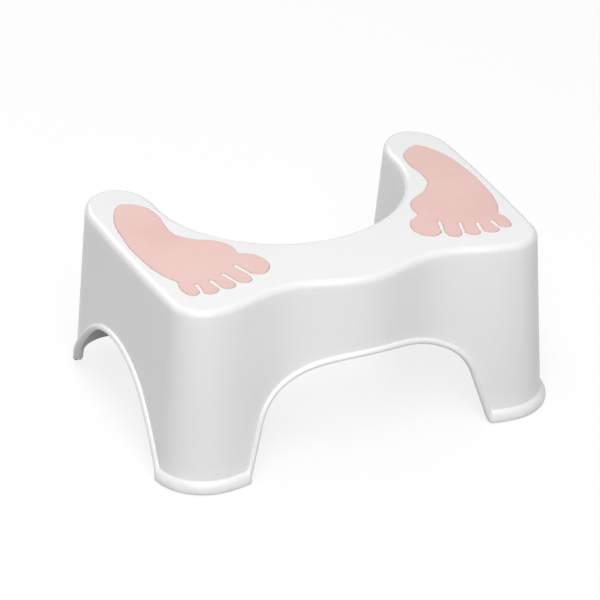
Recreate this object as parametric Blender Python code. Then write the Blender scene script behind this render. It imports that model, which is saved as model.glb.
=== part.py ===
"""Toilet footstool: a moulded shell, two footprints let into its top and four anti-slip strips.

Units are metres. +Z is up, the waved front faces -Y, the recess for the toilet's foot opens to +Y, and the
left and right halves mirror each other about X = 0. The origin is on the floor under the stool's middle.
"""
import math

import bmesh
import bpy
import numpy as np

# Overall
HEIGHT = 0.170                  # floor to the top face
DRAFT_SHARE = 0.078             # how far each wall leans out on its way down, as a share of the drop
WALL = 0.0030                   # thickness of the moulded walls and of the top
TOP_FILLET = 0.0060             # rounding of the top edge
OVERRUN = 0.010                 # how far a cutter runs past what it cuts
FIT_GAP = 0.0003                # gap between pieces that touch
GRID = 0.000001                 # step to which the plan's points are rounded

# Plan of the top, before its edge is rounded
RECESS_RADIUS = 0.1166          # half round recess for the toilet's foot
WING_WIDTH = 0.0624             # each wing beside the recess
WING_TIP = 0.0437               # length of a wing beyond the recess's centre line
SIDE_TAPER = 0.0062             # how much narrower the top's side is at the front
FRONT_CORNER = 0.0311           # radius of the front corners
BRIDGE_DEPTH = 0.0706           # recess to the middle line of the waved front edge
WAVE_HEIGHT = 0.0072            # the wave's swing to each side of its middle line

# Front arch: a wide arc, a smaller one, each up to a lean, then a leg with that lean. Every arch is then drawn
# wider or narrower until it ends at the feet beside it
FRONT_ARCH_HEIGHT = 0.0977
FRONT_ARCS = [(0.1601, math.radians(29.9)), (0.0448, math.radians(73.0))]
FRONT_FOOT_WIDTH = 0.0706       # from the front arch to the stool's side, measured at the floor

# Side arches, whose back leg leans more than the front one
SIDE_ARCH_HEIGHT = 0.0840
SIDE_ARCH_SETBACK = 0.0695      # from the recess's centre line forward to the arch's middle
SIDE_FRONT_ARCS = [(0.0790, math.radians(47.9)), (0.2580, math.radians(58.3))]
SIDE_BACK_ARCS = [(0.0786, math.radians(41.0)), (0.1605, math.radians(49.2))]
FRONT_FOOT_DEPTH = 0.0394       # from the stool's front to the side arch, measured at the floor
BACK_FOOT_DEPTH = 0.0177        # from the side arch to the wing's end, measured at the floor

# Back opening, low under the wings and raised under the recess
BACK_GAP = 0.0102
BACK_CORNER_RADIUS = 0.0050
BACK_RISE = 0.0310
BACK_RISE_HALF = 0.1000
BACK_FOOT_WIDTH = 0.0165        # foot left standing outside the opening, measured at the wall

# Raised rim along the openings and round the feet
RIM_WIDTH = 0.0045
RIM_PROUD = 0.0035
FOOT_RIM_HEIGHT = 0.0118
FOOT_RIM_SLOPE = 0.0040         # height of the rim's sloping shoulder
FOOT_RIM_PROUD = 0.0049

# Stiffening ribs under the top
RIB_PITCH = 0.046
RIB_WIDTH = 0.0018
RIB_DEPTH = 0.014

# Anti-slip strips in the feet
STRIP_WIDTH = 0.0040
STRIP_HEIGHT = 0.0037
STRIP_PROUD = 0.0010            # how far a strip lifts the shell off the floor
STRIP_END_MARGIN = 0.0015       # shell left between a strip's end and the arch beside it

# Footprints
FOOT_LENGTH = 0.1800
FOOT_WIDTH = 0.0987
FOOT_FROM_RECESS = 0.0467       # big toe's side to the side of the recess, measured inwards along X
HEEL_AHEAD_OF_TIP = 0.0306      # wing's end to the heel's end
PAD_THICKNESS = 0.0018
PAD_PROUD = 0.0005
TOE_SLIT_WIDTH = 0.0022

# Points of one footprint, as shares of its width, from the big toe's side, and of its length, from the toes'
# tips. The heel and the inner side come first.
INNER_SHARES = [(0.769, 0.982), (0.688, 0.964), (0.612, 0.927), (0.568, 0.886), (0.549, 0.833), (0.541, 0.783),
                (0.550, 0.733), (0.556, 0.667), (0.539, 0.594), (0.481, 0.549), (0.402, 0.508), (0.298, 0.476),
                (0.225, 0.441), (0.180, 0.396), (0.165, 0.352), (0.168, 0.309), (0.116, 0.290), (0.063, 0.270),
                (0.014, 0.228), (-0.003, 0.182), (0.007, 0.139), (0.056, 0.098), (0.117, 0.079), (0.180, 0.091)]
# Mouth and inner end of each slit between two toes, from the big toe outwards
SLIT_SHARES = [((0.222, 0.098), (0.280, 0.201)), ((0.385, 0.056), (0.436, 0.150)),
               ((0.548, 0.034), (0.577, 0.114)), ((0.717, 0.044), (0.715, 0.107))]
# Outer edge of the second, third, fourth and little toe, each from one slit to the next
TOE_SHARES = [[(0.240, 0.056), (0.290, 0.033), (0.344, 0.040)],
              [(0.403, 0.042), (0.441, 0.016), (0.486, 0.012), (0.525, 0.025)],
              [(0.576, 0.021), (0.620, 0.003), (0.673, 0.002), (0.711, 0.023)],
              [(0.745, 0.033), (0.804, 0.018), (0.846, 0.039), (0.869, 0.085), (0.864, 0.124)]]
OUTER_SHARES = [(0.846, 0.165), (0.876, 0.201), (0.914, 0.245), (0.938, 0.290), (0.962, 0.344), (0.978, 0.416),
                (0.988, 0.482), (0.996, 0.554), (0.990, 0.625), (0.981, 0.691), (0.973, 0.756), (0.951, 0.816),
                (0.916, 0.875), (0.866, 0.932), (0.822, 0.966)]

# Steps along the curves
WAVE_STEPS = 12
CORNER_STEPS = 8
SIDE_STEPS = 4
TIP_STEPS = 16
RECESS_STEPS = 15
FILLET_STEPS = 4
ARC_STEPS = 8
FOOT_STEPS = 2

# Colour, roughness and metallic value of each material
MATERIALS = {
    "white_plastic": ((0.87, 0.87, 0.86, 1.0), 0.35, 0.0),
    "pink_soft_touch": ((0.80, 0.53, 0.48, 1.0), 0.60, 0.0),
    "grey_grip": ((0.45, 0.45, 0.45, 1.0), 0.80, 0.0),
}

SHELL_BASE = STRIP_PROUD
WING_SIDE = RECESS_RADIUS + WING_WIDTH
FRONT_SIDE = WING_SIDE - SIDE_TAPER
CORNER_X = FRONT_SIDE - FRONT_CORNER


def spread(z):
    """How far the outside of the walls has leaned out at height z."""
    return DRAFT_SHARE * (HEIGHT - z)


FRONT_REACH = RECESS_RADIUS + BRIDGE_DEPTH + WAVE_HEIGHT + spread(SHELL_BASE) + FOOT_RIM_PROUD
BACK_REACH = WING_TIP + spread(BACK_GAP) + RIM_PROUD
RECESS_Y = (FRONT_REACH - BACK_REACH) / 2
MIDDLE_FRONT_Y = RECESS_Y - RECESS_RADIUS - BRIDGE_DEPTH
CORNER_Y = MIDDLE_FRONT_Y - WAVE_HEIGHT + FRONT_CORNER
SIDE_ARCH_Y = RECESS_Y - SIDE_ARCH_SETBACK
FRONT_ARCH_REACH = FRONT_SIDE + spread(0) - FRONT_FOOT_WIDTH
SIDE_FRONT_REACH = SIDE_ARCH_Y - MIDDLE_FRONT_Y + WAVE_HEIGHT + spread(0) - FRONT_FOOT_DEPTH
SIDE_BACK_REACH = RECESS_Y + WING_TIP + spread(0) - BACK_FOOT_DEPTH - SIDE_ARCH_Y


def half_plan():
    """Edge of the top's right half, from the middle of the front to the middle of the recess."""
    wave = np.linspace(0, CORNER_X, WAVE_STEPS + 1)[:-1]
    front = np.stack([wave, MIDDLE_FRONT_Y - WAVE_HEIGHT * np.cos(2 * np.pi * wave / CORNER_X)], 1)
    turn = np.linspace(-np.pi / 2, 0, CORNER_STEPS + 1)
    corner = np.stack([CORNER_X + FRONT_CORNER * np.cos(turn), CORNER_Y + FRONT_CORNER * np.sin(turn)], 1)
    along = np.linspace(0, 1, SIDE_STEPS + 1)[1:-1]
    side = np.stack([WING_SIDE - SIDE_TAPER * (1 - along) ** 2, CORNER_Y + along * (RECESS_Y - CORNER_Y)], 1)
    turn = np.linspace(0, np.pi, TIP_STEPS + 1)
    across = (1 + np.cos(turn)) / 2
    tip = np.stack([RECESS_RADIUS + WING_WIDTH * across, RECESS_Y + WING_TIP * np.sin(turn)], 1)
    turn = np.linspace(0, np.pi / 2, RECESS_STEPS + 1)[1:]
    recess = np.stack([RECESS_RADIUS * np.cos(turn), RECESS_Y - RECESS_RADIUS * np.sin(turn)], 1)
    return np.concatenate([front, corner, side, tip, recess])


def whole_plan():
    """Closed edge of the top, counter-clockwise, with the two points on the mirror plane used once."""
    half = half_plan()
    return np.concatenate([half, (half * [-1, 1])[-2:0:-1]])


def outset(points, distance):
    """A closed flat outline moved outwards, every edge staying parallel to itself."""
    ahead = np.roll(points, -1, axis=0) - points
    ahead /= np.linalg.norm(ahead, axis=1)[:, None]
    normal = np.stack([ahead[:, 1], -ahead[:, 0]], 1)
    behind = np.roll(normal, 1, axis=0)
    bisector = normal + behind
    bisector /= (bisector * normal).sum(1)[:, None]
    return points + bisector * distance


def level(distance, z):
    """The plan moved outwards by a distance, as a ring of points at height z."""
    ring = np.round(outset(whole_plan(), distance) / GRID) * GRID
    return [(x, y, z) for x, y in ring]


def between(ring):
    """The ring through the middles of a ring's edges. Its walls never meet another ring's edge on edge."""
    ends = zip(ring, ring[1:] + ring[:1])
    return [((x0 + x1) / 2, (y0 + y1) / 2, z) for (x0, y0, z), (x1, y1, z) in ends]


def collection(name):
    made = bpy.data.collections.new(name)
    bpy.context.scene.collection.children.link(made)
    return made


def material(name):
    colour, roughness, metallic = MATERIALS[name]
    made = bpy.data.materials.new(name)
    made.use_nodes = True
    shader = made.node_tree.nodes["Principled BSDF"]
    shader.inputs["Base Color"].default_value = colour
    shader.inputs["Roughness"].default_value = roughness
    shader.inputs["Metallic"].default_value = metallic
    made.diffuse_color = colour
    return made


def finish(name, mesh, into):
    """Turns a bmesh into an object whose faces point out."""
    if mesh.calc_volume(signed=True) < 0:
        bmesh.ops.reverse_faces(mesh, faces=mesh.faces)
    data = bpy.data.meshes.new(name)
    mesh.to_mesh(data)
    mesh.free()
    made = bpy.data.objects.new(name, data)
    into.objects.link(made)
    return made


def loft(name, rings, into, closed=False):
    """A solid through rings of equal point counts, capped at its ends, or a hollow ring if closed."""
    mesh = bmesh.new()
    loops = [[mesh.verts.new(point) for point in ring] for ring in rings]
    pairs = list(zip(loops, loops[1:]))
    if closed:
        pairs.append((loops[-1], loops[0]))
    else:
        mesh.faces.new(loops[0][::-1])
        mesh.faces.new(loops[-1])
    for below, above in pairs:
        for a, b, c, d in zip(below, below[1:] + below[:1], above[1:] + above[:1], above):
            mesh.faces.new((a, b, c, d))
    return finish(name, mesh, into)


def box(mesh, low, high):
    """Adds a box between two corners to a bmesh."""
    made = bmesh.ops.create_cube(mesh, size=1)["verts"]
    bmesh.ops.scale(mesh, vec=[b - a for a, b in zip(low, high)], verts=made)
    bmesh.ops.translate(mesh, vec=[(a + b) / 2 for a, b in zip(low, high)], verts=made)


def block(name, low, high, into):
    """A box between two corners as an object."""
    mesh = bmesh.new()
    box(mesh, low, high)
    return finish(name, mesh, into)


def tool(made):
    """Marks an object as a cutter or a building block, which the part leaves out."""
    made.hide_render = True
    made.display_type = "WIRE"
    return made


def combine(target, operation, other):
    """Adds a Boolean step to an object."""
    step = target.modifiers.new(f"{operation.lower()} {other.name}", "BOOLEAN")
    step.operation = operation
    step.object = other
    step.solver = "EXACT"


def half_arch(height, arcs, grow):
    """Half an arch's outline (across, z): arcs of a radius up to a lean, then a leg to under the floor."""
    across, z, lean = 0, height + grow, 0
    half = [(across, z)]
    for radius, end in arcs:
        wide = radius + grow
        for turn in np.linspace(lean, end, ARC_STEPS + 1)[1:]:
            out, down = math.sin(turn) - math.sin(lean), math.cos(lean) - math.cos(turn)
            half.append((across + wide * out, z - wide * down))
        across, z = half[-1]
        lean = end
    drop = z + OVERRUN
    half.append((across + drop / math.tan(lean), z - drop))
    return half


def floor_reach(half):
    """Half width at which an arch's leg meets the bottom of the shell."""
    (x0, z0), (x1, z1) = half[-2:]
    return x1 + (x0 - x1) * (SHELL_BASE - z1) / (z0 - z1)


def fitted_arch(height, arcs, reach, grow):
    """Half an arch, or with grow its rim, made wider or narrower so that the arch's leg ends at reach."""
    share = reach / floor_reach(half_arch(height, arcs, 0))
    return [(across * share, z) for across, z in half_arch(height, arcs, grow)]


def whole_arch(right, left):
    """Closed outline from the arch's right half and its left half, both drawn to the right."""
    return right + [(-x, z) for x, z in left[:0:-1]]


def back_opening(grow):
    """Outline (x, z) of the back opening: raised under the recess, low under the wings."""
    top = BACK_GAP + grow
    corner = BACK_CORNER_RADIUS + grow
    side = WING_SIDE + spread(0) - BACK_FOOT_WIDTH + grow
    half = [(x, top + BACK_RISE * (1 + math.cos(math.pi * x / BACK_RISE_HALF)) / 2)
            for x in np.linspace(0, BACK_RISE_HALF, 2 * ARC_STEPS + 1)]
    half += [(side - corner + corner * math.sin(turn), top - corner + corner * math.cos(turn))
             for turn in np.linspace(0, math.pi / 2, ARC_STEPS + 1)]
    half.append((side, -OVERRUN))
    return whole_arch(half, half)


def along_y(outline, start, end):
    return [[(x, y, z) for x, z in outline] for y in (start, end)]


def along_x(outline, start, end):
    return [[(x, SIDE_ARCH_Y + across, z) for across, z in outline] for x in (start, end)]


def openings(grow, cutters, word):
    """The four openings, or with grow the rims around them, as solids across the walls."""
    outer_x = WING_SIDE + spread(0) + FOOT_RIM_PROUD + OVERRUN
    front_y = MIDDLE_FRONT_Y - WAVE_HEIGHT - spread(0) - FOOT_RIM_PROUD - OVERRUN
    back_y = RECESS_Y + WING_TIP + spread(0) + RIM_PROUD + OVERRUN
    bridge_y = MIDDLE_FRONT_Y + BRIDGE_DEPTH / 2
    wing_x = RECESS_RADIUS + WING_WIDTH / 2
    front_half = fitted_arch(FRONT_ARCH_HEIGHT, FRONT_ARCS, FRONT_ARCH_REACH, grow)
    front = whole_arch(front_half, front_half)
    side = whole_arch(fitted_arch(SIDE_ARCH_HEIGHT, SIDE_BACK_ARCS, SIDE_BACK_REACH, grow),
                      fitted_arch(SIDE_ARCH_HEIGHT, SIDE_FRONT_ARCS, SIDE_FRONT_REACH, grow))
    made = [loft(f"front_{word}", along_y(front, front_y, bridge_y), cutters),
            loft(f"back_{word}", along_y(back_opening(grow), bridge_y, back_y), cutters),
            loft(f"right_{word}", along_x(side, wing_x, outer_x), cutters),
            loft(f"left_{word}", along_x(side, -outer_x, -wing_x), cutters)]
    return [tool(each) for each in made]


def outer_body(into):
    """The shell's outside as a solid: a rim round the feet, drafted walls and a rounded top edge."""
    shoulder = FOOT_RIM_HEIGHT - FOOT_RIM_SLOPE
    rings = [level(spread(z) + FOOT_RIM_PROUD, z) for z in (SHELL_BASE, shoulder)]
    rings.append(level(spread(FOOT_RIM_HEIGHT), FOOT_RIM_HEIGHT))
    for turn in np.linspace(0, math.pi / 2, FILLET_STEPS + 1):
        z = HEIGHT - TOP_FILLET * (1 - math.sin(turn))
        rings.append(level(spread(z) - TOP_FILLET * (1 - math.cos(turn)), z))
    return loft("stool_shell", rings, into)


def inner_body(name, wall, cutters):
    """The space inside the shell, for a wall thickness."""
    fillet = TOP_FILLET - wall
    top = HEIGHT - wall
    rings = [level(spread(-OVERRUN) - wall, -OVERRUN)]
    for turn in np.linspace(0, math.pi / 2, FILLET_STEPS // 2 + 1):
        z = top - fillet * (1 - math.sin(turn))
        rings.append(level(spread(z) - wall - fillet * (1 - math.cos(turn)), z))
    return tool(loft(name, rings, cutters))


def rim_stock(cutters):
    """Walls thickened outwards, from which the rims along the openings are kept."""
    low = FOOT_RIM_HEIGHT / 2
    top = FRONT_ARCH_HEIGHT + RIM_WIDTH + OVERRUN
    rings = [between(level(spread(z) + RIM_PROUD, z)) for z in (low, top)]
    return tool(loft("rim_stock", rings, cutters))


def ribs(cutters):
    """A grid of ribs under the top: a slab with pockets, trimmed to the inside of the shell."""
    reach_x = WING_SIDE + RIB_PITCH
    reach_y = (FRONT_REACH + BACK_REACH) / 2 + RIB_PITCH
    low = HEIGHT - WALL - RIB_DEPTH
    slab = tool(block("ribs", (-reach_x, -reach_y, low), (reach_x, reach_y, HEIGHT), cutters))
    pocket = (RIB_PITCH - RIB_WIDTH) / 2
    mesh = bmesh.new()
    for i in range(-math.ceil(reach_x / RIB_PITCH), math.ceil(reach_x / RIB_PITCH)):
        for j in range(-math.ceil(reach_y / RIB_PITCH), math.ceil(reach_y / RIB_PITCH) + 1):
            x, y = (i + 1 / 2) * RIB_PITCH, j * RIB_PITCH
            box(mesh, (x - pocket, y - pocket, low - OVERRUN), (x + pocket, y + pocket, HEIGHT + OVERRUN))
    pockets = tool(finish("rib_pockets", mesh, cutters))
    combine(slab, "DIFFERENCE", pockets)
    combine(slab, "INTERSECT", inner_body("rib_bounds", WALL / 2, cutters))
    return slab


def foot_places():
    """Low and high corner, in plan, of each foot's strip, by name."""
    front_x = FRONT_ARCH_REACH + STRIP_END_MARGIN
    front_y = SIDE_ARCH_Y - SIDE_FRONT_REACH - STRIP_END_MARGIN
    back_x = WING_SIDE + spread(0) - BACK_FOOT_WIDTH + STRIP_END_MARGIN
    back_y = SIDE_ARCH_Y + SIDE_BACK_REACH + STRIP_END_MARGIN
    far_x = WING_SIDE + spread(0) + FOOT_RIM_PROUD + OVERRUN
    far_y = FRONT_REACH + BACK_REACH
    places = {}
    for side, sign in (("left", -1), ("right", 1)):
        for end, near, low_y, high_y in (("front", front_x, -far_y, front_y), ("rear", back_x, back_y, far_y)):
            xs = sorted((sign * near, sign * far_x))
            places[f"{end}_{side}"] = ((xs[0], low_y), (xs[1], high_y))
    return places


def foot_band(name, place, gap, low, high, into, cutters):
    """A strip that follows one foot's rim, or with a gap the groove for it."""
    middle = spread(0) + (FOOT_RIM_PROUD - WALL) / 2
    inner = middle - STRIP_WIDTH / 2 - gap
    outer = middle + STRIP_WIDTH / 2 + gap
    rings = [level(outer, low), level(outer, high), level(inner, high), level(inner, low)]
    made = loft(name, rings, into, closed=True)
    (x0, y0), (x1, y1) = place
    bounds = block(f"{name}_bounds", (x0 - gap, y0 - gap, -OVERRUN), (x1 + gap, y1 + gap, HEIGHT), cutters)
    combine(made, "INTERSECT", tool(bounds))
    return made


def smooth(points):
    """An open curve through points, each span split evenly (Catmull-Rom)."""
    points = np.array([points[0], *points, points[-1]])
    behind, start, end, beyond = points[:-3], points[1:-2], points[2:-1], points[3:]
    steps = []
    for t in np.arange(FOOT_STEPS) / FOOT_STEPS:
        steps.append((2 * start + (end - behind) * t + (2 * behind - 5 * start + 4 * end - beyond) * t ** 2
                      + (3 * start - behind - 3 * end + beyond) * t ** 3) / 2)
    return [*np.stack(steps, 1).reshape(-1, 2), points[-1]]


def footprint():
    """Outline of the right footprint, counter-clockwise, starting at the slit beside the big toe."""
    scale = np.array([FOOT_WIDTH, FOOT_LENGTH])
    sides = []
    for mouth, end in SLIT_SHARES:
        mouth, end = np.array(mouth) * scale, np.array(end) * scale
        run = (end - mouth) / np.linalg.norm(end - mouth)
        across = np.array([run[1], -run[0]]) * TOE_SLIT_WIDTH / 2
        inside = [end - across, end + run * TOE_SLIT_WIDTH / 2, end + across]
        sides.append((mouth - across, inside, mouth + across))
    edges = [*TOE_SHARES[:-1], TOE_SHARES[-1] + OUTER_SHARES + INNER_SHARES]
    outline = []
    for (_, inside, leave), (arrive, _, _), edge in zip(sides, sides[1:] + sides[:1], edges):
        outline += inside + smooth([leave, *[np.array(share) * scale for share in edge], arrive])
    inner_side = RECESS_RADIUS - FOOT_FROM_RECESS
    toes_end = RECESS_Y + WING_TIP - HEEL_AHEAD_OF_TIP - FOOT_LENGTH
    return np.array(outline) + [inner_side, toes_end]


def pad(name, sign, distance, low, high, into):
    """A footprint's solid on the right side (sign 1) or mirrored on the left (sign -1)."""
    outline = outset(footprint(), distance) * [sign, 1]
    return loft(name, [[(x, y, z) for x, y in outline] for z in (low, high)], into)


def build():
    for each in list(bpy.data.objects):
        bpy.data.objects.remove(each)
    parts = collection("toilet_footstool")
    cutters = collection("cutters")
    shell = outer_body(parts)
    shell.data.materials.append(material("white_plastic"))
    stock = rim_stock(cutters)
    for rim in openings(RIM_WIDTH, cutters, "rim"):
        combine(rim, "INTERSECT", stock)
        combine(shell, "UNION", rim)
    combine(shell, "DIFFERENCE", inner_body("hollow", WALL, cutters))
    for opening in openings(0, cutters, "opening"):
        combine(shell, "DIFFERENCE", opening)
    combine(shell, "UNION", ribs(cutters))

    pink = material("pink_soft_touch")
    for side, sign in (("left", -1), ("right", 1)):
        floor = HEIGHT + PAD_PROUD - PAD_THICKNESS
        made = pad(f"{side}_footprint_pad", sign, 0, floor, floor + PAD_THICKNESS, parts)
        made.data.materials.append(pink)
        recess = pad(f"{side}_pad_recess", sign, FIT_GAP, floor - FIT_GAP, HEIGHT + OVERRUN, cutters)
        combine(shell, "DIFFERENCE", tool(recess))

    grip = material("grey_grip")
    for foot, place in foot_places().items():
        made = foot_band(f"{foot}_grip_strip", place, 0, 0, STRIP_HEIGHT, parts, cutters)
        made.data.materials.append(grip)
        top = STRIP_HEIGHT + FIT_GAP
        groove = foot_band(f"{foot}_groove", place, FIT_GAP, -OVERRUN, top, cutters, cutters)
        combine(shell, "DIFFERENCE", tool(groove))


build()
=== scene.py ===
import math

import bmesh
import bpy
import numpy as np
from mathutils import Matrix, Vector


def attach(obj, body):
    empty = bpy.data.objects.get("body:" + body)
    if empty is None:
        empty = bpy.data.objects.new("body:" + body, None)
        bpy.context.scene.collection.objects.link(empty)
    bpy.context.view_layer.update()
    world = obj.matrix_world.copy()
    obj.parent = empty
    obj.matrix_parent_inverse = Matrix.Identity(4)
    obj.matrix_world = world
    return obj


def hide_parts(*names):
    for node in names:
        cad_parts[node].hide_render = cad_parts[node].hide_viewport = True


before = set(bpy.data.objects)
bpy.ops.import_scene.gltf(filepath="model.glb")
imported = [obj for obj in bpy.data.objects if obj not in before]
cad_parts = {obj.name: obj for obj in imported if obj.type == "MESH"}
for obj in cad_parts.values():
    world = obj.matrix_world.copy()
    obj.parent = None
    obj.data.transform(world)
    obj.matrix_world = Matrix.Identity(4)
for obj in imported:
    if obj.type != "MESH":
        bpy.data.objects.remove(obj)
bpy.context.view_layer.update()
print("stage: frame loaded")

# Lengths are metres. +Z is up, the waved front faces -Y, the recess opens to +Y.

# Plan and walls of the moulded shell
shellSizes = {
    "height": 0.170,            # floor to the top face
    "base": 0.001,              # the strips lift the shell by this much
    "draft": 0.078,             # share by which walls lean out on their way down
    "wall": 0.0030,
    "topFillet": 0.0060,
    "capInset": 0.0004,         # flat ring between the rounded edge and the top face
    "recessRadius": 0.1166,
    "recessY": 0.076409,        # centre line of the recess
    "wingWidth": 0.0624,
    "wingTip": 0.0437,
    "sideTaper": 0.0062,
    "frontCorner": 0.0311,
    "frontY": -0.110791,        # middle line of the waved front edge
    "wave": 0.0072,
    "columnStep": 0.0010,       # spacing of the mesh's columns along the plan
    "spacingHeight": 0.03,      # the openings' edges at this height set that spacing
    "wallLevels": 12,
    "outerSteps": 9,            # rings of the rounded edge outside, and of the rounding inside
    "innerSteps": 6,
}

# Points drawn along each stretch of the plan before the columns are spaced out
planSteps = {"front": 400, "corner": 120, "side": 300, "tip": 400, "recess": 300}

# Openings in the walls. Arcs are (radius, lean in degrees at which the arc ends)
archSizes = {
    "frontHeight": 0.0977,
    "frontArcs": [(0.1601, 29.9), (0.0448, 73.0)],
    "frontDepth": 0.035,        # the front arch cuts the walls up to this far behind the wave's middle line
    "sideHeight": 0.0840,
    "sideY": 0.006909,
    "sideFrontArcs": [(0.0790, 47.9), (0.2580, 58.3)],
    "sideBackArcs": [(0.0786, 41.0), (0.1605, 49.2)],
    "backGap": 0.0102,
    "backRise": 0.0310,
    "backRiseHalf": 0.1000,
    "backSide": 0.1758,
    "backArcs": [(0.0050, 80.0)],
    "none": -1.0,               # height of the edge where there is no opening, far under the floor
}

# Rounded rim along the openings, and the band round the feet
rimSizes = {
    "width": 0.0052,
    "proud": 0.0031,
    "setOut": 1.12,             # the wall starts to rise this many widths from the opening
    "steps": 12,
    "edgeRound": 0.0004,
    "edgeShares": [(1, 0), (0.3, 0.3), (0, 1)],     # inward and upward, round the wall's lower inner edge
    "join": 0.0050,             # length over which the rim runs into the band
    "rounds": 8,                # each round brings the edge closer to its final height
    "firstHeight": 0.05,
    "band": [(0.0122, 0.0), (0.0117, 0.0001), (0.0113, 0.0005), (0.0107, 0.0013), (0.0099, 0.0023),
             (0.0090, 0.0032), (0.0079, 0.0039), (0.0067, 0.0044), (0.0054, 0.0048), (0.0041, 0.0050),
             (0.0030, 0.0050), (0.0019, 0.0048), (0.0012, 0.0044), (0.0010, 0.0037)],   # (height, proud)
}


def spread(z):
    # how far the outside of the walls has leaned out at a height
    return shellSizes["draft"] * (shellSizes["height"] - z)


def lengthsAlong(points):
    return np.r_[0, np.cumsum(np.linalg.norm(np.diff(points, axis=0), axis=1))]


def spacedEvenly(rows, lengths, step):
    places = np.linspace(0, lengths[-1], round(lengths[-1] / step) + 1)
    return np.stack([np.interp(places, lengths, column) for column in rows.T], 1)


def outwardNormals(ring):
    ahead = np.roll(ring, -1, axis=0) - np.roll(ring, 1, axis=0)
    ahead /= np.linalg.norm(ahead, axis=1)[:, None]
    return np.stack([ahead[:, 1], -ahead[:, 0]], 1)


def topPlan():
    # points of the top's edge and their outward directions, closer together where an opening's edge is steep
    s, n = shellSizes, planSteps
    wingSide = s["recessRadius"] + s["wingWidth"]
    cornerX = wingSide - s["sideTaper"] - s["frontCorner"]
    cornerY = s["frontY"] - s["wave"] + s["frontCorner"]
    x = np.linspace(0, cornerX, n["front"])[:-1]
    front = np.stack([x, s["frontY"] - s["wave"] * np.cos(2 * np.pi * x / cornerX)], 1)
    turn = np.linspace(-np.pi / 2, 0, n["corner"])
    corner = np.stack([cornerX + s["frontCorner"] * np.cos(turn),
                       cornerY + s["frontCorner"] * np.sin(turn)], 1)
    along = np.linspace(0, 1, n["side"])[1:-1]
    side = np.stack([wingSide - s["sideTaper"] * (1 - along) ** 2,
                     cornerY + along * (s["recessY"] - cornerY)], 1)
    turn = np.linspace(0, np.pi, n["tip"])
    tip = np.stack([s["recessRadius"] + s["wingWidth"] * (1 + np.cos(turn)) / 2,
                    s["recessY"] + s["wingTip"] * np.sin(turn)], 1)
    turn = np.linspace(0, np.pi / 2, n["recess"])[1:]
    recess = np.stack([s["recessRadius"] * np.cos(turn), s["recessY"] - s["recessRadius"] * np.sin(turn)], 1)
    half = np.concatenate([front, corner, side, tip, recess])
    normals = outwardNormals(np.concatenate([half, (half * [-1, 1])[-2:0:-1]]))[:len(half)]
    wall = half + normals * spread(s["spacingHeight"])
    edge = np.maximum(openingHeight(wall[:, 0], wall[:, 1], 0), s["base"])
    made = spacedEvenly(np.c_[half, normals], lengthsAlong(np.c_[half, edge]), s["columnStep"])
    made = np.concatenate([made, (made * [-1, 1, -1, 1])[-2:0:-1]])
    return made[:, :2], made[:, 2:] / np.linalg.norm(made[:, 2:], axis=1)[:, None]


def archHeight(across, height, arcs, grow):
    # height of an arch's edge, or of a line set out from it, at a distance from its middle
    across = np.abs(across)
    x, z, lean = 0.0, height, 0.0
    edge = np.full(across.shape, height + grow)
    for radius, end in arcs:
        end = math.radians(end)
        midX, midZ = x - radius * math.sin(lean), z - radius * math.cos(lean)
        wide = radius + grow
        inArc = across >= midX + wide * math.sin(lean)
        rise = np.sqrt(np.maximum(wide ** 2 - (across - midX) ** 2, 0))
        edge = np.where(inArc, midZ + rise, edge)
        x, z, lean = midX + radius * math.sin(end), midZ + radius * math.cos(end), end
        lineX, lineZ = midX + wide * math.sin(end), midZ + wide * math.cos(end)
    return np.where(across > lineX, lineZ - (across - lineX) * math.tan(lean), edge)


def openingHeight(x, y, grow):
    # height of the lower edge of the wall above each opening, far under the floor where there is none
    a, s = archSizes, shellSizes
    bridgeY = s["frontY"] + a["frontDepth"]
    wingX = s["recessRadius"] + s["wingWidth"] / 2
    front = archHeight(x, a["frontHeight"], a["frontArcs"], grow)
    sideFront = archHeight(y - a["sideY"], a["sideHeight"], a["sideFrontArcs"], grow)
    sideBack = archHeight(y - a["sideY"], a["sideHeight"], a["sideBackArcs"], grow)
    side = np.where(y < a["sideY"], sideFront, sideBack)
    flat = a["backSide"] - a["backArcs"][0][0]
    rise = a["backRise"] * (1 + np.cos(np.pi * np.minimum(np.abs(x) / a["backRiseHalf"], 1))) / 2
    back = archHeight(np.maximum(np.abs(x) - flat, 0), a["backGap"], a["backArcs"], grow) + rise
    none = np.full(x.shape, a["none"])
    best = np.where(y < bridgeY, np.where(np.abs(x) < wingX, front, none), back)
    return np.where(np.abs(x) > wingX, np.maximum(best, side), best)


def rimProfile():
    # pairs of (set out from the opening, proud of the wall) and (height, proud) of the band beside them
    rim = [(rimSizes["width"] * rimSizes["setOut"], 0.0)]
    for turn in np.linspace(0, np.pi, rimSizes["steps"] + 1):
        rim.append((rimSizes["width"] * (1 + math.cos(turn)) / 2, rimSizes["proud"] * math.sin(turn)))
    return list(zip(rim, rimSizes["band"]))


def edgeRing(plan, normals, grow, proud, bandZ, bandProud):
    # one ring of the lower edge: the rim of an opening or the band of a foot, whichever is higher
    z = np.full(len(plan), rimSizes["firstHeight"])
    out = np.full(len(plan), proud)
    join = rimSizes["join"]
    for _ in range(rimSizes["rounds"]):
        place = plan + normals * (spread(z) + out)[:, None]
        rimZ = openingHeight(place[:, 0], place[:, 1], grow)
        share = np.clip((rimZ - bandZ) / join / 2 + 0.5, 0, 1)
        z = bandZ + np.maximum(rimZ - bandZ, archSizes["none"]) * share + join * share * (1 - share)
        out = bandProud + (proud - bandProud) * share * share * (3 - 2 * share)
    return z, out


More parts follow.
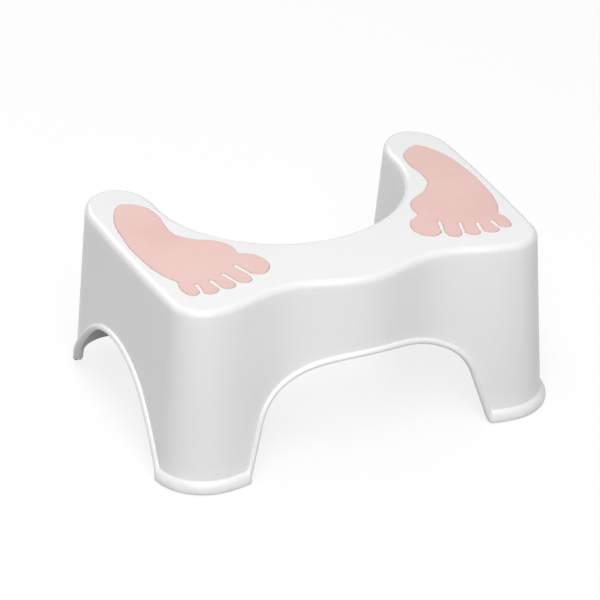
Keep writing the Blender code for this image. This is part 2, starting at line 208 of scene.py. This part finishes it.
def shellRings(plan, normals):
    # plan and height of every ring, from the top face down the outside and up the inside
    s = shellSizes
    flat = np.ones(len(plan))
    rings = [((spread(s["height"]) - s["topFillet"] - s["capInset"]) * flat, s["height"] * flat)]
    for turn in np.linspace(math.pi / 2, 0, s["outerSteps"]):
        z = s["height"] - s["topFillet"] * (1 - math.sin(turn))
        rings.append(((spread(z) - s["topFillet"] * (1 - math.cos(turn))) * flat, z * flat))
    lower = []
    for (grow, proud), (bandZ, bandProud) in rimProfile():
        z, out = edgeRing(plan, normals, grow, proud, bandZ, bandProud)
        lower.append((spread(z) + out, z))
    top = s["height"] - s["topFillet"]
    for share in np.linspace(0, 1, s["wallLevels"] + 1)[1:-1]:
        z = top + (lower[0][1] - top) * share
        rings.append((spread(z), z))
    rings += lower
    edge = lower[-1][1]
    rounding = rimSizes["edgeRound"]
    for inward, up in rimSizes["edgeShares"]:
        rings.append((spread(edge + up * rounding) + (inward * rounding - s["wall"]), edge + up * rounding))
    fillet = s["topFillet"] - s["wall"]
    for share in np.linspace(0, 1, s["wallLevels"] + 1)[1:]:
        z = edge + rounding + (top - edge - rounding) * share
        rings.append((spread(z) - s["wall"], z))
    for turn in np.linspace(0, math.pi / 2, s["innerSteps"])[1:]:
        z = top + fillet * math.sin(turn)
        rings.append(((spread(z) - s["wall"] - fillet * (1 - math.cos(turn))) * flat, z * flat))
    return [(plan + normals * out[:, None], z) for out, z in rings]


def startRing(mesh, ring, z):
    verts = [mesh.verts.new((x, y, h)) for (x, y), h in zip(ring, np.broadcast_to(z, len(ring)))]
    edges = [mesh.edges.new(pair) for pair in zip(verts, verts[1:] + verts[:1])]
    return verts, edges


def nextRing(mesh, verts, edges, ring, z):
    # extrudes a ring's edges and sets the new vertices on their places
    order = {vert: i for i, vert in enumerate(verts)}
    made = bmesh.ops.extrude_edge_only(mesh, edges=edges)["geom"]
    fresh = [each for each in made if isinstance(each, bmesh.types.BMVert)]
    new = [None] * len(verts)
    for vert in fresh:
        behind = next(e.other_vert(vert) for e in vert.link_edges if e.other_vert(vert) in order)
        new[order[behind]] = vert
    freshSet = set(fresh)
    for vert, (x, y), h in zip(new, ring, np.broadcast_to(z, len(new))):
        vert.co = (x, y, h)
    newEdges = [each for each in made if isinstance(each, bmesh.types.BMEdge)
                and each.verts[0] in freshSet and each.verts[1] in freshSet]
    return new, newEdges


sharpAngle = 40.0               # edges that turn by more than this many degrees stay sharp


def finishObject(name, mesh, material):
    bmesh.ops.recalc_face_normals(mesh, faces=mesh.faces)
    data = bpy.data.meshes.new(name)
    mesh.to_mesh(data)
    mesh.free()
    data.shade_smooth()
    data.set_sharp_from_angle(angle=math.radians(sharpAngle))
    data.materials.append(material)
    made = bpy.data.objects.new(name, data)
    bpy.context.scene.collection.objects.link(made)
    return made


# Footprints, and the hollows in the top that hold them
footSizes = {
    "length": 0.1800,
    "width": 0.0987,
    "corner": (0.0699, -0.090491),      # where the shares of the right foot's outline start
    "slit": 0.0027,             # width of a slit between toes
    "slitEnd": 0.0034,          # width of its round inner end
    "slitSteps": 9,
    "spanSteps": 8,             # steps from one point of the outline to the next
    "step": 0.0006,             # spacing of the mesh's columns along the outline
    "softenRounds": 4,
    "thickness": 0.0018,
    "proud": 0.0005,
    "gap": 0.0001,              # between the pad and its hollow
    "edgeRound": 0.0008,
    "edgeSteps": 7,
    "innerRing": 0.0004,        # from the rounded edge to where the painted edge shade ends
    "edgeShadeLow": 0.4,           # strength of the painted edge shade where the rounding starts
    "lipRound": 0.0003,
    "lipSteps": 4,
    "lipEdge": 0.00005,         # flat ring round the hollow's rounded lip
}
# Shares of the width from the big toe's side, and of the length from the toes' tips
innerShares = [(0.769, 0.982), (0.688, 0.964), (0.612, 0.927), (0.568, 0.886), (0.549, 0.833), (0.541, 0.783),
               (0.550, 0.733), (0.556, 0.667), (0.539, 0.594), (0.481, 0.549), (0.402, 0.508), (0.298, 0.476),
               (0.225, 0.441), (0.180, 0.396), (0.165, 0.352), (0.168, 0.309), (0.116, 0.290), (0.063, 0.270),
               (0.014, 0.228), (-0.003, 0.182), (0.007, 0.139), (0.056, 0.098), (0.117, 0.079),
               (0.180, 0.091)]
# Mouth and inner end of each slit, from the big toe outwards
slitShares = [((0.222, 0.098), (0.280, 0.201)), ((0.385, 0.056), (0.436, 0.150)),
              ((0.548, 0.034), (0.577, 0.114)), ((0.717, 0.044), (0.715, 0.107))]
# Tips of the four smaller toes, each from one slit to the next
toeShares = [[(0.240, 0.056), (0.290, 0.033), (0.344, 0.040)],
             [(0.403, 0.042), (0.441, 0.016), (0.486, 0.012), (0.525, 0.025)],
             [(0.576, 0.021), (0.620, 0.003), (0.673, 0.002), (0.711, 0.023)],
             [(0.745, 0.033), (0.804, 0.018), (0.846, 0.039), (0.869, 0.085), (0.864, 0.124)]]
outerShares = [(0.846, 0.165), (0.876, 0.201), (0.914, 0.245), (0.938, 0.290), (0.962, 0.344), (0.978, 0.416),
               (0.988, 0.482), (0.996, 0.554), (0.990, 0.625), (0.981, 0.691), (0.973, 0.756), (0.951, 0.816),
               (0.916, 0.875), (0.866, 0.932), (0.822, 0.966)]


def smoothLine(points):
    # open curve through points
    points = np.array([points[0], *points, points[-1]])
    behind, start, end, beyond = points[:-3], points[1:-2], points[2:-1], points[3:]
    steps = []
    for t in np.arange(footSizes["spanSteps"]) / footSizes["spanSteps"]:
        steps.append((2 * start + (end - behind) * t + (2 * behind - 5 * start + 4 * end - beyond) * t ** 2
                      + (3 * start - behind - 3 * end + beyond) * t ** 3) / 2)
    return [*np.stack(steps, 1).reshape(-1, 2), points[-1]]


def footprint():
    # outline of the right foot, with the corners between toes softened
    f = footSizes
    scale = np.array([f["width"], f["length"]])
    sides = []
    for mouth, end in slitShares:
        mouth, end = np.array(mouth) * scale, np.array(end) * scale
        run = (end - mouth) / np.linalg.norm(end - mouth)
        across = np.array([run[1], -run[0]])
        turns = [end + (run * math.sin(t) - across * math.cos(t)) * f["slitEnd"] / 2
                 for t in np.linspace(0, math.pi, f["slitSteps"])]
        sides.append((mouth - across * f["slit"] / 2, turns, mouth + across * f["slit"] / 2))
    edges = [*toeShares[:-1], toeShares[-1] + outerShares + innerShares]
    outline = []
    for (_, inside, leave), (arrive, _, _), edge in zip(sides, sides[1:] + sides[:1], edges):
        outline += inside + smoothLine([leave, *[np.array(share) * scale for share in edge], arrive])
    outline = np.array(outline + outline[:1])
    ring = spacedEvenly(outline, lengthsAlong(outline), f["step"])[:-1]
    for _ in range(f["softenRounds"]):
        ring = (np.roll(ring, 1, axis=0) + 2 * ring + np.roll(ring, -1, axis=0)) / 4
    return ring + np.array(f["corner"])


# Stiffening ribs under the top
ribSizes = {
    "pitch": 0.046,
    "width": 0.0018,
    "depth": 0.014,
    "sink": 0.0002,             # how far the ribs run into the top and the walls
    "shifts": (0, 0.5),         # how far each of the two sets is moved, in pitches
}


def addRibs(mesh, plan, normals):
    # a grid of thin blocks from wall to wall, each end sunk into the wall
    s, r = shellSizes, ribSizes
    top = s["height"] - s["wall"] + r["sink"]
    low = s["height"] - s["wall"] - r["depth"]
    ring = plan + normals * (spread(low) - s["wall"] + r["sink"])
    for axis in (0, 1):
        reach = ring[:, axis].max()
        count = math.ceil(reach / r["pitch"])
        for i in range(-count, count + 1):
            line = (i + r["shifts"][axis]) * r["pitch"]
            a, b = ring, np.roll(ring, -1, axis=0)
            hit = (a[:, axis] - line) * (b[:, axis] - line) < 0
            share = (line - a[hit, axis]) / (b[hit, axis] - a[hit, axis])
            ends = sorted(a[hit, 1 - axis] + share * (b[hit, 1 - axis] - a[hit, 1 - axis]))
            for start, end in zip(ends[::2], ends[1::2]):
                made = bmesh.ops.create_cube(mesh, size=1)["verts"]
                size = [r["width"], r["width"], top - low]
                size[1 - axis] = end - start
                middle = [line, line, (top + low) / 2]
                middle[1 - axis] = (start + end) / 2
                bmesh.ops.scale(mesh, vec=size, verts=made)
                bmesh.ops.translate(mesh, vec=middle, verts=made)


def buildShell(material):
    s, f = shellSizes, footSizes
    mesh = bmesh.new()
    plan, normals = topPlan()
    rings = shellRings(plan, normals)
    verts, edges = startRing(mesh, *rings[0])
    topEdges = list(edges)
    for ring, z in rings[1:]:
        verts, edges = nextRing(mesh, verts, edges, ring, z)
    bmesh.ops.triangle_fill(mesh, use_beauty=True, edges=edges)
    outline = footprint()
    floor = s["height"] + f["proud"] - f["thickness"] - f["gap"]
    for sign in (1, -1):
        foot = outline * [sign, 1]
        out = outwardNormals(foot) * sign
        lip = f["gap"] + f["lipRound"]
        verts, edges = startRing(mesh, foot + out * (lip + f["lipEdge"]), s["height"])
        topEdges += edges
        for turn in np.linspace(0, math.pi / 2, f["lipSteps"]):
            reach = lip - f["lipRound"] * math.sin(turn)
            verts, edges = nextRing(mesh, verts, edges, foot + out * reach,
                                    s["height"] - f["lipRound"] * (1 - math.cos(turn)))
        verts, edges = nextRing(mesh, verts, edges, foot + out * f["gap"], floor)
        bmesh.ops.triangle_fill(mesh, use_beauty=True, edges=edges)
    bmesh.ops.triangle_fill(mesh, use_beauty=True, edges=topEdges)
    addRibs(mesh, plan, normals)
    return finishObject("mouldedShell", mesh, material)


def buildPad(name, sign, material):
    s, f = shellSizes, footSizes
    mesh = bmesh.new()
    foot = footprint() * [sign, 1]
    out = outwardNormals(foot) * sign
    top = s["height"] + f["proud"]
    # each vertex carries a weight for the painted shade along the pad's rounded edge
    paintedEdgeShade = mesh.verts.layers.float.new("paintedEdgeShade")
    verts, edges = startRing(mesh, foot, top - f["thickness"])
    bottom = list(edges)
    for turn in np.linspace(0, math.pi / 2, f["edgeSteps"]):
        reach = -f["edgeRound"] * (1 - math.cos(turn))
        z = top - f["edgeRound"] * (1 - math.sin(turn))
        verts, edges = nextRing(mesh, verts, edges, foot + out * reach, z)
        for vert in verts:
            vert[paintedEdgeShade] = f["edgeShadeLow"] + (1 - f["edgeShadeLow"]) * math.sin(turn)
    verts, edges = nextRing(mesh, verts, edges, foot - out * (f["edgeRound"] + f["innerRing"]), top)
    for vert in verts:
        vert[paintedEdgeShade] = 0
    bmesh.ops.triangle_fill(mesh, use_beauty=True, edges=edges)
    bmesh.ops.triangle_fill(mesh, use_beauty=True, edges=bottom)
    return finishObject(name, mesh, material)


# Anti-slip strips under the feet
stripSizes = {
    "share": 0.95,              # their length and width, as a share of the groove's
    "edgeRound": 0.0004,
    "edgeSteps": 3,
    "edgeAngle": 50,            # edges that turn by more than this many degrees are rounded
    "flatAngle": 1,             # faces that turn by less are joined
    "weld": 0.00002,            # points closer together than this are joined
}


def buildStrip(node, material):
    # a merged copy of the CAD strip with rounded edges
    r = stripSizes
    mesh = bmesh.new()
    mesh.from_mesh(node.data)
    bmesh.ops.remove_doubles(mesh, verts=mesh.verts, dist=r["weld"])
    bmesh.ops.dissolve_limit(mesh, angle_limit=math.radians(r["flatAngle"]), verts=mesh.verts,
                             edges=mesh.edges)
    middle = sum((vert.co for vert in mesh.verts), Vector()) / len(mesh.verts)
    bmesh.ops.scale(mesh, vec=(r["share"], r["share"], 1), verts=mesh.verts,
                    space=Matrix.Translation(-middle))
    edges = [each for each in mesh.edges if each.calc_face_angle(0) > math.radians(r["edgeAngle"])]
    bmesh.ops.bevel(mesh, geom=edges, offset=r["edgeRound"], offset_type="OFFSET", segments=r["edgeSteps"],
                    profile=0.5, affect="EDGES", clamp_overlap=True)
    end, side = node.name.split("_")[:2]
    return finishObject(end + side.title() + "Strip", mesh, material)


def addNode(tree, kind, inputs=None, **settings):
    made = tree.nodes.new(kind)
    for key, value in settings.items():
        setattr(made, key, value)
    for key, value in (inputs or {}).items():
        if isinstance(value, bpy.types.NodeSocket):
            tree.links.new(value, made.inputs[key])
        else:
            made.inputs[key].default_value = value
    return made


def startMaterial(name):
    made = bpy.data.materials.new(name)
    made.use_nodes = True
    tree = made.node_tree
    shader = tree.nodes["Principled BSDF"]
    place = addNode(tree, "ShaderNodeTexCoord").outputs["Object"]
    return made, tree, shader, place


def mixColour(tree, share, first, second):
    made = addNode(tree, "ShaderNodeMix", data_type="RGBA")
    tree.links.new(share, made.inputs[0])
    for index, value in ((6, first), (7, second)):
        if isinstance(value, bpy.types.NodeSocket):
            tree.links.new(value, made.inputs[index])
        else:
            made.inputs[index].default_value = (*value, 1)
    return made.outputs[2]


def ramp(tree, value, low, high, toLow=0.0, toHigh=1.0):
    return addNode(tree, "ShaderNodeMapRange", {0: value, 1: low, 2: high, 3: toLow, 4: toHigh}).outputs[0]


def noise(tree, vector, scale, detail, distortion=0.0):
    inputs = {"Vector": vector, "Scale": scale, "Detail": detail, "Distortion": distortion}
    return addNode(tree, "ShaderNodeTexNoise", inputs).outputs["Fac"]


def combine(tree, operation, first, second):
    return addNode(tree, "ShaderNodeMath", {0: first, 1: second}, operation=operation).outputs[0]


def addBump(tree, height, strength, distance, below=None, **settings):
    inputs = {"Height": height, "Strength": strength, "Distance": distance}
    if below is not None:
        inputs["Normal"] = below
    return addNode(tree, "ShaderNodeBump", inputs, **settings).outputs[0]


# In the looks below, noises are (scale, detail, distortion), and ranges end in Range
plasticLook = {
    "base": (0.880, 0.880, 0.876),
    "shade": (0.860, 0.861, 0.860),
    "dust": (0.78, 0.77, 0.75),
    "scratch": (0.80, 0.80, 0.79),
    "cloud": (9.0, 3.0),
    "cloudRange": (0.35, 0.65),
    "grain": (1500.0, 2.0),
    "grainDepth": 0.00002,
    "grainStrength": 0.22,
    "wavinessDepth": 0.0008,     # slow waves that cooling leaves in a moulded wall
    "wavinessStrength": 0.2,
    "roughness": (0.30, 0.40),
    "smear": (55.0, 6.0, 1.5),
    "smearRange": (0.3, 0.7),
    "topRange": (0.1680, 0.1695),        # height at which the scratches fade in
    "scratchTurns": (0.5, -0.8),
    "scratchStretch": (18, 700, 1),
    "scratchNoise": (1.0, 3.0, 0.6),
    "scratchRange": (0.64, 0.70),
    "scratchShare": 0.5,
    "scratchRoughness": 0.16,
    "scratchDepth": 0.00003,
    "scratchStrength": 0.3,
    "wear": (30.0, 4.0),
    "wearRange": (0.42, 0.60),
    "polish": 0.06,              # hands polish the upper edge by this much
    "polishRange": (0.158, 0.166),
    "polishEndRange": (0.1680, 0.1699),
    "dustHeight": 0.022,         # dust is gathered below this height
    "dustShare": 0.55,
    "dustNoise": (160.0, 5.0),
    "dustRange": (0.45, 0.65),
}


def whitePlastic():
    p = plasticLook
    made, tree, shader, place = startMaterial("whiteMouldedPlastic")
    cloud = noise(tree, place, *p["cloud"])
    grain = noise(tree, place, *p["grain"])
    height = addNode(tree, "ShaderNodeSeparateXYZ", {"Vector": place}).outputs["Z"]
    colour = mixColour(tree, ramp(tree, cloud, *p["cloudRange"]), p["base"], p["shade"])
    # fine scratches from shoes and scrubbing, in two directions, on the top only
    onTop = ramp(tree, height, *p["topRange"])
    scratches = None
    for turn in p["scratchTurns"]:
        turned = addNode(tree, "ShaderNodeMapping", {"Vector": place, "Rotation": (0, 0, turn),
                                                     "Scale": p["scratchStretch"]}).outputs[0]
        lines = ramp(tree, noise(tree, turned, *p["scratchNoise"]), *p["scratchRange"])
        scratches = lines if scratches is None else combine(tree, "MAXIMUM", scratches, lines)
    worn = ramp(tree, noise(tree, place, *p["wear"]), *p["wearRange"])
    scratches = combine(tree, "MULTIPLY", combine(tree, "MULTIPLY", scratches, worn), onTop)
    colour = mixColour(tree, combine(tree, "MULTIPLY", scratches, p["scratchShare"]), colour, p["scratch"])
    # dust and floor scuffs on the feet
    low = ramp(tree, height, 0.0, p["dustHeight"], p["dustShare"], 0.0)
    dust = combine(tree, "MULTIPLY", low, ramp(tree, noise(tree, place, *p["dustNoise"]), *p["dustRange"]))
    tree.links.new(mixColour(tree, dust, colour, p["dust"]), shader.inputs["Base Color"])
    # satin face, duller where scratched or dusty, polished along the upper edge
    rough = ramp(tree, noise(tree, place, *p["smear"]), *p["smearRange"], *p["roughness"])
    dull = combine(tree, "MULTIPLY", combine(tree, "ADD", scratches, dust), p["scratchRoughness"])
    rough = combine(tree, "ADD", rough, dull)
    edge = combine(tree, "MULTIPLY", ramp(tree, height, *p["polishRange"]),
                   ramp(tree, height, *p["polishEndRange"], 1.0, 0.0))
    rough = combine(tree, "SUBTRACT", rough, combine(tree, "MULTIPLY", edge, p["polish"]))
    tree.links.new(rough, shader.inputs["Roughness"])
    bump = addBump(tree, grain, p["grainStrength"], p["grainDepth"])
    cut = addBump(tree, scratches, p["scratchStrength"], p["scratchDepth"], bump, invert=True)
    wave = addBump(tree, cloud, p["wavinessStrength"], p["wavinessDepth"], cut)
    tree.links.new(wave, shader.inputs["Normal"])
    return made


rubberLook = {
    "base": (0.82, 0.555, 0.515),
    "shade": (0.785, 0.520, 0.480),
    "worn": (0.835, 0.600, 0.560),
    # the colour of the dark specks, and of the painted shade along each pad's rounded edge
    "edge": (0.69, 0.465, 0.435),
    "cloud": (22.0, 4.0),
    "cloudRange": (0.35, 0.65),
    "wear": (16.0, 5.0, 0.4),
    "wearRange": (0.45, 0.70),
    "wearShare": 0.6,
    "wearPolish": 0.12,          # worn places are smoother by this much
    "speck": (700.0, 2.0),
    "speckRange": (0.60, 0.75),
    "speckShare": 0.25,
    "pebbleScale": 1300.0,       # pebbled soft-touch skin
    "pebbleDepth": 0.00008,
    "pebbleStrength": 0.4,
    "roughness": (0.52, 0.64),
    "roughnessRange": (0.3, 0.7),
}


def pinkRubber():
    p = rubberLook
    made, tree, shader, place = startMaterial("pinkSoftRubber")
    cloud = noise(tree, place, *p["cloud"])
    worn = ramp(tree, noise(tree, place, *p["wear"]), *p["wearRange"], 0.0, p["wearShare"])
    colour = mixColour(tree, ramp(tree, cloud, *p["cloudRange"]), p["base"], p["shade"])
    colour = mixColour(tree, worn, colour, p["worn"])
    speck = ramp(tree, noise(tree, place, *p["speck"]), *p["speckRange"], 0.0, p["speckShare"])
    colour = mixColour(tree, speck, colour, p["edge"])
    # painted shade: a darker pink along each pad's rounded edge, strongest at the top of the rounding
    paintedEdgeShade = addNode(tree, "ShaderNodeAttribute", attribute_name="paintedEdgeShade").outputs["Fac"]
    tree.links.new(mixColour(tree, paintedEdgeShade, colour, p["edge"]), shader.inputs["Base Color"])
    rough = ramp(tree, cloud, *p["roughnessRange"], *p["roughness"])
    rough = combine(tree, "SUBTRACT", rough, combine(tree, "MULTIPLY", worn, p["wearPolish"]))
    tree.links.new(rough, shader.inputs["Roughness"])
    pebbles = addNode(tree, "ShaderNodeTexVoronoi", {"Vector": place, "Scale": p["pebbleScale"]},
                      feature="SMOOTH_F1").outputs["Distance"]
    bump = addBump(tree, pebbles, p["pebbleStrength"], p["pebbleDepth"], invert=True)
    tree.links.new(bump, shader.inputs["Normal"])
    return made


gripLook = {
    "base": (0.46, 0.46, 0.46),
    "shade": (0.40, 0.40, 0.39),
    "cloud": (90.0, 4.0),
    "cloudRange": (0.35, 0.65),
    "grain": (900.0, 3.0),
    "grainDepth": 0.0001,
    "grainStrength": 0.5,
    "roughness": (0.72, 0.88),
    "roughnessRange": (0.3, 0.7),
}


def greyRubber():
    p = gripLook
    made, tree, shader, place = startMaterial("greyGripRubber")
    cloud = noise(tree, place, *p["cloud"])
    colour = mixColour(tree, ramp(tree, cloud, *p["cloudRange"]), p["base"], p["shade"])
    tree.links.new(colour, shader.inputs["Base Color"])
    tree.links.new(ramp(tree, cloud, *p["roughnessRange"], *p["roughness"]), shader.inputs["Roughness"])
    bump = addBump(tree, noise(tree, place, *p["grain"]), p["grainStrength"], p["grainDepth"])
    tree.links.new(bump, shader.inputs["Normal"])
    return made


white = whitePlastic()
shell = buildShell(white)
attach(shell, "root")
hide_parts("stool_shell")
print("stage: shell", len(shell.data.polygons))

pink = pinkRubber()
for side, sign in (("left", -1), ("right", 1)):
    pad = buildPad(f"{side}FootPad", sign, pink)
    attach(pad, "root")
    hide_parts(f"{side}_footprint_pad")
print("stage: pads", len(pad.data.polygons))

grip = greyRubber()
for name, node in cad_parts.items():
    if name.endswith("grip_strip"):
        strip = buildStrip(node, grip)
        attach(strip, "root")
        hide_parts(name)
print("stage: strips", len(strip.data.polygons))

floorLook = {
    "half": 4.0,
    "drop": 0.0002,             # below the stool's feet, so that no faces share a plane
    "colour": (0.45, 0.45, 0.45),
    "glow": 0.83,               # what the camera sees is this glow and a little shade
    "cameraShade": 0.17,
}


def buildFloor():
    f = floorLook
    mesh = bmesh.new()
    bmesh.ops.create_grid(mesh, x_segments=1, y_segments=1, size=f["half"])
    bmesh.ops.translate(mesh, vec=(0, 0, -f["drop"]), verts=mesh.verts)
    data = bpy.data.meshes.new("studioFloor")
    mesh.to_mesh(data)
    mesh.free()
    floor = bpy.data.objects.new("studioFloor", data)
    bpy.context.scene.collection.objects.link(floor)
    made = bpy.data.materials.new("paleFloor")
    made.use_nodes = True
    tree = made.node_tree
    tree.nodes.clear()
    path = addNode(tree, "ShaderNodeLightPath").outputs
    seen = combine(tree, "MAXIMUM", path["Is Camera Ray"], path["Is Glossy Ray"])
    seen = combine(tree, "MAXIMUM", seen, path["Is Transmission Ray"])
    lit = addNode(tree, "ShaderNodeBsdfDiffuse", {"Color": (*f["colour"], 1)})
    shade = addNode(tree, "ShaderNodeBsdfDiffuse", {"Color": (f["cameraShade"],) * 3 + (1,)})
    glow = addNode(tree, "ShaderNodeEmission", {"Color": (1, 1, 1, 1), "Strength": f["glow"]})
    both = addNode(tree, "ShaderNodeAddShader", {0: shade.outputs[0], 1: glow.outputs[0]})
    mix = addNode(tree, "ShaderNodeMixShader", {0: seen, 1: lit.outputs[0], 2: both.outputs[0]})
    addNode(tree, "ShaderNodeOutputMaterial", {"Surface": mix.outputs[0]})
    data.materials.append(made)


# The room's light, and the white that the camera sees behind the stool
roomLook = {"light": (0.99, 0.995, 1.0), "strength": 0.28, "behind": 1.0}


def buildWorld():
    w = roomLook
    world = bpy.data.worlds.new("studioRoom")
    bpy.context.scene.world = world
    world.use_nodes = True
    tree = world.node_tree
    tree.nodes.clear()
    path = addNode(tree, "ShaderNodeLightPath").outputs
    seen = combine(tree, "MAXIMUM", path["Is Camera Ray"], path["Is Transmission Ray"])
    room = addNode(tree, "ShaderNodeBackground", {"Color": (*w["light"], 1), "Strength": w["strength"]})
    behind = addNode(tree, "ShaderNodeBackground", {"Color": (1, 1, 1, 1), "Strength": w["behind"]})
    mix = addNode(tree, "ShaderNodeMixShader", {0: seen, 1: room.outputs[0], 2: behind.outputs[0]})
    addNode(tree, "ShaderNodeOutputWorld", {"Surface": mix.outputs[0]})


# Place and power in watts of each lamp, all of one size and turned to the same point
lamps = {
    "keyLamp": ((-0.78, -1.9, 2.2), 39),
    "topLamp": ((-0.4, -0.9, 2.7), 30),
    "backLamp": ((-0.45, 2.4, 1.8), 21),
}
lampSize = 1.4
lampTarget = (0, 0, 0.08)


def addLamp(name, place, power):
    lamp = bpy.data.lights.new(name, "AREA")
    lamp.shape = "RECTANGLE"
    lamp.size, lamp.size_y = lampSize, lampSize
    lamp.energy = power
    made = bpy.data.objects.new(name, lamp)
    bpy.context.scene.collection.objects.link(made)
    toward = Vector(lampTarget) - Vector(place)
    made.matrix_world = Matrix.Translation(place) @ toward.to_track_quat("-Z", "Y").to_matrix().to_4x4()


# Angles are degrees, the lens and the sensor are millimetres
cameraPlace = {
    "target": (-0.00874, 0.002979, 0.085),
    "distance": 2.24146,
    "around": -25.751,
    "up": 30.284,
    "roll": 1.065,
    "lens": 150.442,
    "sensor": 36,
    "clipStart": 0.05,
}


def buildCamera():
    c = cameraPlace
    around, up, roll = (math.radians(c[key]) for key in ("around", "up", "roll"))
    back = Vector((math.sin(around) * math.cos(up), -math.cos(around) * math.cos(up), math.sin(up)))
    right = Vector((math.cos(around), math.sin(around), 0))
    upward = back.cross(right)
    turned = [right * math.cos(roll) + upward * math.sin(roll),
              upward * math.cos(roll) - right * math.sin(roll), back]
    data = bpy.data.cameras.new("photoCamera")
    data.sensor_width = c["sensor"]
    data.lens = c["lens"]
    data.clip_start = c["clipStart"]
    camera = bpy.data.objects.new("photoCamera", data)
    bpy.context.scene.collection.objects.link(camera)
    facing = Matrix(turned).transposed().to_4x4()
    camera.matrix_world = Matrix.Translation(Vector(c["target"]) + back * c["distance"]) @ facing
    bpy.context.scene.camera = camera


buildFloor()
buildWorld()
for name, (place, power) in lamps.items():
    addLamp(name, place, power)
buildCamera()
bpy.context.scene.view_settings.view_transform = "Standard"
print("stage: studio")
